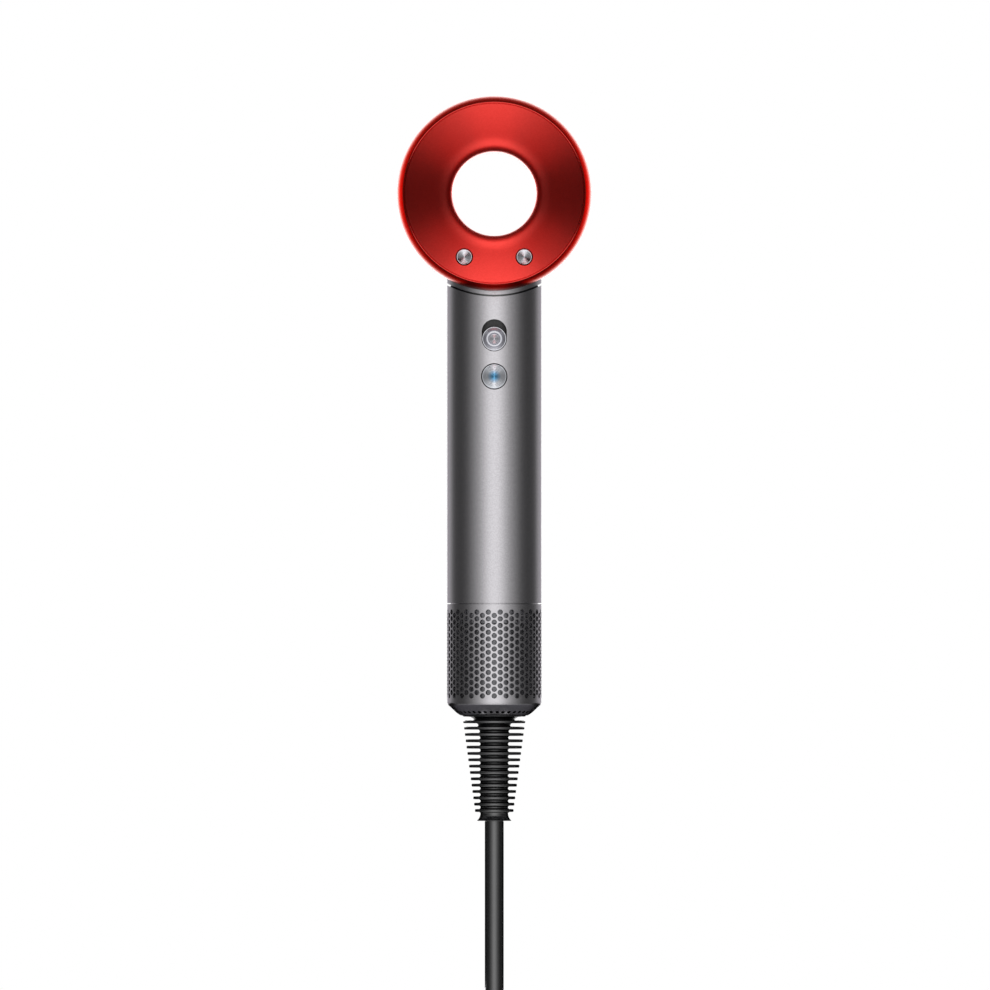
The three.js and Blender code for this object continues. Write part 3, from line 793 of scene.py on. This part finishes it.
def makeNeckSeal(materials):
    # a rubber sleeve inside the joint, with a thin lip between the neck and the grip
    n = neckSeal
    inside, flange, low, high = n["inside"], n["flange"], saddle["low"], saddle["high"]
    lip = turnedPiece("neckSeal", [(inside, low), (flange, low), (flange, high), (inside, high)],
                      "handle", 128)
    cutAway(lip, outsideSaddle("sealLimit", n["gap"][1]), insideSaddle(n["gap"][0]))
    outside, foot, top = n["sleeve"]
    sleeve = turnedPiece("sealSleeve", [(inside, foot), (outside, foot), (outside, top), (inside, top)],
                         "handle", 128)
    cutAway(sleeve, insideSaddle(n["gap"][1]))
    activate(sleeve)
    lip.select_set(True)
    bpy.context.view_layer.objects.active = lip
    bpy.ops.object.join()
    smoothShade(lip, 30)
    return finishPiece(lip, "body", "rubber", materials["elastomer"], "neck_gasket")


def makeHead(materials):
    makeRearFlare(materials)
    makeNeckSeal(materials)
    makeHeadShell(materials)
    makeAirPath(materials)
    print("head: flare, shell, bore, outlet ring and collar")


handle = {
    "radius": 19,
    "inside": 17.8,
    "bottom": -44.3,
    "spigot": (17.45, 17.62, -46, -42),   # radii and heights of the lip that guides the cage
    "top": 90,
    "row": 2.0,                # height of one row of faces, so that the cuts shade cleanly
    "insideRows": [90, 70, 50, 20],
    "saddle": 41.25,
    "slotRadius": 5.05,
    "slotZ": 61.8,
    "slotTravel": 2.8,
    "coldShotHole": 5.3,
    "coldShotZ": 46.7,
}


def slotCutter():
    # a round-ended prism: a circle with its upper half lifted by the travel
    h = handle
    deselectAll()
    bpy.ops.mesh.primitive_circle_add(vertices=48, radius=h["slotRadius"] * mm, fill_type="NGON",
                                      location=(0, -25 * mm, h["slotZ"] * mm),
                                      rotation=(math.pi / 2, math.radians(3.75), 0))
    cutter = bakePlace(bpy.context.object)
    bpy.ops.object.mode_set(mode="EDIT")
    selectWhere(cutter, "VERT", lambda v: v.co.z > h["slotZ"] * mm)
    bpy.ops.transform.translate(value=(0, 0, h["slotTravel"] * mm))
    bpy.ops.mesh.select_all(action="SELECT")
    bpy.ops.mesh.extrude_region_move(TRANSFORM_OT_translate={"value": (0, 15 * mm, 0)})
    bpy.ops.mesh.select_all(action="SELECT")
    bpy.ops.mesh.normals_make_consistent(inside=False)
    bpy.ops.object.mode_set(mode="OBJECT")
    return cutter


def makeHandleTube(materials):
    # the grip: a straight tube, saddled to the head, with the slide's slot and the cold shot's hole
    h = handle
    tall = h["top"] - h["bottom"]
    rows = int(tall / h["row"])
    within, over, low, high = h["spigot"]
    outside = [(within, low), (over, low), (over, h["bottom"]), (h["radius"] - 0.05, h["bottom"]),
               (h["radius"], h["bottom"] + 0.05)]
    outside += [(h["radius"], h["bottom"] + tall * i / rows) for i in range(1, rows + 1)]
    inside = [(h["inside"], z) for z in h["insideRows"] + [high]] + [(within, high)]
    tube = turnedPiece("handleTube", outside + inside, "handle", 192)
    cutAway(tube, insideSaddle(h["saddle"]), slotCutter(),
            cylinderAlongY(h["coldShotHole"], 0, h["coldShotZ"], -25, -10, 64))
    smoothShade(tube, 30)
    return finishPiece(tube, "body", "shell", materials["gunmetalPaint"], "handle_tube")


def turnedGrooves(inner, outer, pitch, depth, face):
    # corners of concentric V grooves across a turned face, from the middle outwards
    count = max(1, round((outer - inner) / pitch))
    step = (outer - inner) / count
    corners = []
    for i in range(count):
        corners += [(inner + i * step, face + depth), (inner + (i + 0.5) * step, face)]
    return corners + [(outer, face + depth)]


controls = {
    "groovePitch": 0.5,
    "grooveDepth": 0.12,
    "paintedShadeDeep": 0.45,          # how far behind the face the bare metal ends; past it the button is painted black, a painted shade in the gap round it
    "knob": {"z": 61.8, "face": -19.5, "faceRadius": 2.1,
             "corners": [(2.2, -19.55), (2.5, -20), (2.75, -20.05), (3.1, -20), (3.3, -19.6)],
             "skirt": (3.4, 4.5, 0.37, 0.13, -19.45),
             "back": [(4.72, -19.3), (4.85, -19.05), (4.85, -17.8), (1.5, -17.8), (1.5, -16.3), (0, -16.3)]},
    "coldShot": {"z": 46.7, "face": -19.45, "faceRadius": 4.55,
                 "back": [(4.8, -19.4), (5, -19.15), (5, -15.9), (6, -15.9), (6, -15.1), (0, -15.1)]},
    "small": {"x": 12, "z": 94.5, "face": -38.2, "faceRadius": 2.75,
              "back": [(2.95, -38.12), (3.15, -37.9), (3.2, -37.7), (3.2, -31), (1.6, -31), (1.6, -27.2),
                       (0, -27.2)]},
}


def makeControl(materials, name, body, centre, outline, face, colours, middle=None):
    # an aluminium button, faced on a lathe: its face is bright metal, and what lies behind it is painted
    # black as painted shade in the gap round the button
    piece = turnedPiece(name, outline, "head", 96, centre)
    smoothShade(piece, 12)
    turned = turnedMetal("turnedAluminium" + name[0].upper() + name[1:], centre, colours, (0.16, 0.24), 0.004,
                         middle=middle)
    finishPiece(piece, body, "metal", turned, body)
    # painted shade: the sides and back of the button get black nylon so that the gap round it reads dark
    piece.data.materials.append(materials["blackNylon"])
    bpy.ops.object.mode_set(mode="EDIT")
    selectWhere(piece, "FACE", lambda f: f.center.y > (face + controls["paintedShadeDeep"]) * mm)
    piece.active_material_index = 1
    bpy.ops.object.material_slot_assign()
    bpy.ops.object.mode_set(mode="OBJECT")


def makeControls(materials):
    pitch, depth = controls["groovePitch"], controls["grooveDepth"]
    knob, press, small = controls["knob"], controls["coldShot"], controls["small"]
    outline = turnedGrooves(0, knob["faceRadius"], pitch, depth, knob["face"]) + knob["corners"]
    outline += turnedGrooves(*knob["skirt"]) + knob["back"]
    makeControl(materials, "powerSlide", "power_slide", (0, 0, knob["z"]), outline, knob["face"],
                ("#97979c", "#b8b8be"))

    outline = turnedGrooves(0, press["faceRadius"], pitch, depth, press["face"]) + press["back"]
    makeControl(materials, "coldShotButton", "cold_shot_button", (0, 0, press["z"]), outline, press["face"],
                ("#97999e", "#b8babf"), middle=("#568cb0", 2.8))

    outline = turnedGrooves(0, small["faceRadius"], pitch, depth, small["face"]) + small["back"]
    for name, body, side in (("speedButton", "speed_button", -1), ("heatButton", "heat_button", 1)):
        makeControl(materials, name, body, (side * small["x"], 0, small["z"]), outline, small["face"],
                    ("#9a9a9e", "#bcbcc2"))
    print("controls: slide, cold shot, speed and heat")


cage = {
    "radius": 19,
    "wall": 1.0,
    "columns": 50,
    "holes": 13,
    "hole": 2.15,
    "pitch": 2.69,
    "firstLow": -49.25,        # top hole of the column that faces the user
    "firstHigh": -47.9,
    "top": -44.75,
    "bottom": -84.0,
    "foot": [(19, -84), (19, -84.4), (18.85, -84.5), (18.8, -84.9), (18.57, -85.3), (18.1, -85.75),
             (17.25, -86.5), (16.5, -87.2), (15.5, -88.1), (14.95, -88.55), (14.4, -88.95),
             (13.7, -89.35), (13.3, -89.5), (13, -89.5), (13, -88.7), (14.1, -87.8), (15.2, -86.8),
             (16.4, -85.75), (17.4, -84.9), (17.8, -84)],
    "footHoles": 40,
    "footHole": 0.75,
    "footHoleRing": (15.5, -88.1),
    "footHoleTilt": 134,
}


def perforatedColumn(name, x, first, arc):
    # one punched tile, a round hole in a rectangle, repeated down the column
    c = cage
    tall = c["pitch"]
    deselectAll()
    bpy.ops.mesh.primitive_plane_add(size=1, rotation=(math.pi / 2, 0, 0))
    column = bakePlace(bpy.context.object)
    column.name = name
    bpy.ops.object.mode_set(mode="EDIT")
    bpy.ops.mesh.select_all(action="SELECT")
    bpy.ops.transform.resize(value=(arc, 1, tall * mm), center_override=(0, 0, 0))
    bpy.ops.transform.translate(value=(x, 0, first * mm))
    bpy.ops.mesh.subdivide(number_cuts=3)
    selectWhere(column, "VERT", lambda v: abs(v.co.x - x) < arc * 0.4
                and abs(v.co.z - first * mm) < tall * mm * 0.4)
    bpy.ops.mesh.delete(type="VERT")
    bpy.ops.mesh.primitive_circle_add(vertices=16, radius=c["hole"] / 2 * mm, location=(x, 0, first * mm),
                                      rotation=(math.pi / 2, 0, 0))
    bpy.ops.mesh.select_mode(type="EDGE")
    bpy.ops.mesh.select_all(action="SELECT")
    bpy.ops.mesh.bridge_edge_loops()
    bpy.ops.object.mode_set(mode="OBJECT")
    addModifier(column, "ARRAY", count=c["holes"], use_relative_offset=False, use_constant_offset=True,
                constant_offset_displace=(0, 0, -tall * mm), use_merge_vertices=True,
                merge_threshold=0.01 * mm)
    applyModifiers(column)
    highTop = (c["firstHigh"] + tall / 2) * mm
    lowBottom = (c["firstLow"] - tall / 2 - tall * (c["holes"] - 1)) * mm
    low = first == c["firstLow"]
    tops = [highTop - tall / 4 * mm, highTop] if low else []
    bottoms = [] if low else [lowBottom + tall / 4 * mm, lowBottom]
    for levels, end in ((tops + [c["top"] * mm], max), (bottoms + [c["bottom"] * mm], min)):
        for level in levels:
            edge = end(v.co.z for v in column.data.vertices)
            bpy.ops.object.mode_set(mode="EDIT")
            selectWhere(column, "VERT", lambda v: abs(v.co.z - edge) < 0.02 * mm)
            bpy.ops.mesh.select_mode(type="EDGE")
            bpy.ops.mesh.extrude_region_move(TRANSFORM_OT_translate={"value": (0, 0, level - edge)})
            bpy.ops.object.mode_set(mode="OBJECT")
    return column


def makeCageWall():
    c = cage
    arc = 2 * math.pi * c["radius"] / c["columns"] * mm
    first = -(c["columns"] // 2) * arc
    high = perforatedColumn("cageWall", first, c["firstHigh"], arc)
    low = perforatedColumn("cageColumn", first + arc, c["firstLow"], arc)
    activate(low)
    high.select_set(True)
    bpy.context.view_layer.objects.active = high
    bpy.ops.object.join()
    wall = bpy.context.object
    addModifier(wall, "ARRAY", count=c["columns"] // 2, use_relative_offset=False, use_constant_offset=True,
                constant_offset_displace=(2 * arc, 0, 0), use_merge_vertices=True, merge_threshold=0.01 * mm)
    applyModifiers(wall)
    addModifier(wall, "SIMPLE_DEFORM", deform_method="BEND", deform_axis="Z", angle=2 * math.pi)
    applyModifiers(wall)
    bpy.ops.transform.translate(value=(0, -c["radius"] * mm, 0))
    bakePlace(wall)
    bpy.ops.object.mode_set(mode="EDIT")
    bpy.ops.mesh.select_all(action="SELECT")
    bpy.ops.mesh.remove_doubles(threshold=0.02 * mm)
    bpy.ops.mesh.normals_make_consistent(inside=False)
    bpy.ops.object.mode_set(mode="OBJECT")
    addModifier(wall, "SOLIDIFY", thickness=c["wall"] * mm, offset=-1)
    applyModifiers(wall)
    return smoothShade(wall, 35)


def makeCage(materials):
    # the removable inlet cage: punched wall, and a chamfered foot with a ring of small holes
    c = cage
    wall = makeCageWall()
    foot = turnedPiece("cageFoot", c["foot"], "handle", 200)
    pins = []
    r, z = c["footHoleRing"]
    for i in range(c["footHoles"]):
        turned = 2 * math.pi * (i + 0.5) / c["footHoles"]
        deselectAll()
        spot = Vector((r * math.cos(turned), r * math.sin(turned), z)) * mm
        bpy.ops.mesh.primitive_cylinder_add(vertices=12, radius=c["footHole"] * mm, depth=6 * mm,
                                            location=spot,
                                            rotation=(0, math.radians(c["footHoleTilt"]), turned))
        pins.append(bpy.context.object)
    for pin in pins:
        pin.select_set(True)
    bpy.context.view_layer.objects.active = pins[0]
    bpy.ops.object.join()
    cutAway(foot, bakePlace(bpy.context.object))
    smoothShade(foot, 30)
    activate(foot)
    wall.select_set(True)
    bpy.context.view_layer.objects.active = wall
    bpy.ops.object.join()
    print("cage:", len(wall.data.polygons), "faces")
    return finishPiece(wall, "filter_cage", "shell", materials["gunmetalPaint"], "filter_cage")


fineFilter = {"corners": [(16.5, -83.5), (17.1, -83.5), (17.1, -52.6), (17.6, -52.35), (17.6, -46.2),
                          (17.45, -46.2), (17.45, -52.1), (16.5, -52.4)]}

strainRelief = {
    "stem": [(0, -78.4), (5.7, -78.4), (6, -78.7)],
    "core": 5.55,
    "shoulder": (-90.1, 4.0, 2.2),   # height, how far it stands out, and how soon that fades
    "flange": [(6, -86.9), (12.5, -86.9), (12.7, -87.1), (12.7, -89.6), (12.6, -89.8), (12.2, -89.95),
               (10.8, -90.0)],
    "fins": 15,
    "finFirst": -92.05,
    "finPitch": 2.548,
    "finRadii": (12.45, 7.75),
    "finThick": 1.1,
    "rim": 0.3,                # half of each fin's flat rim
    "rimRound": 0.2,
    "root": 0.5,               # how far the round at each fin's root reaches along the stem
    "rootRound": 0.4,
    "end": [(5.6, -129.4), (5.8, -130.2), (6.2, -131.0), (6.75, -131.6), (6.85, -131.75), (6.8, -131.85),
            (3.75, -131.85), (3.7, -132.1), (0, -132.1)],
}


def stemRadius(z):
    # the stem narrows quickly as it leaves the shoulder
    level, out, fade = strainRelief["shoulder"]
    return strainRelief["core"] + out * math.exp((z - level) / fade)


def finOutline(z, radius):
    # one fin at a height: a rounded root, a flat side and a rounded rim, then the same downwards
    s = strainRelief
    half = s["finThick"] / 2
    above, below = stemRadius(z + half + s["root"]), stemRadius(z - half - s["root"])
    return [(above, z + half + s["root"]), (above + s["rootRound"], z + half + 0.05),
            (radius - s["rimRound"], z + half), (radius - 0.03, z + s["rim"] + 0.1), (radius, z + s["rim"]),
            (radius, z - s["rim"]), (radius - 0.03, z - s["rim"] - 0.1), (radius - s["rimRound"], z - half),
            (below + s["rootRound"], z - half - 0.05), (below, z - half - s["root"])]


def makeFoot(materials):
    makeCage(materials)
    gauze = turnedPiece("fineFilter", fineFilter["corners"], "handle", 128)
    smoothShade(gauze)
    finishPiece(gauze, "body", "wire", materials["gauze"], "fine_filter")

    # round-edged fins that let the cord bend evenly
    s = strainRelief
    outline = s["stem"] + s["flange"]
    outline += [(stemRadius(s["shoulder"][0] - drop), s["shoulder"][0] - drop) for drop in (0, 0.3, 0.7)]
    top, end = s["finRadii"]
    for i in range(s["fins"]):
        outline += finOutline(s["finFirst"] - i * s["finPitch"], top + (end - top) * i / (s["fins"] - 1))
    relief = turnedPiece("strainRelief", outline + s["end"], "handle", 128)
    smoothShade(relief, 50)
    finishPiece(relief, "body", "rubber", materials["elastomer"], "strain_relief")
    print("foot: cage, fine filter and strain relief")


makeCamera()
makeStudio()
finishes = makeMaterials()
makeLead(finishes)
makeHead(finishes)
makeHandleTube(finishes)
makeControls(finishes)
makeFoot(finishes)
paintKeptNodes(finishes)
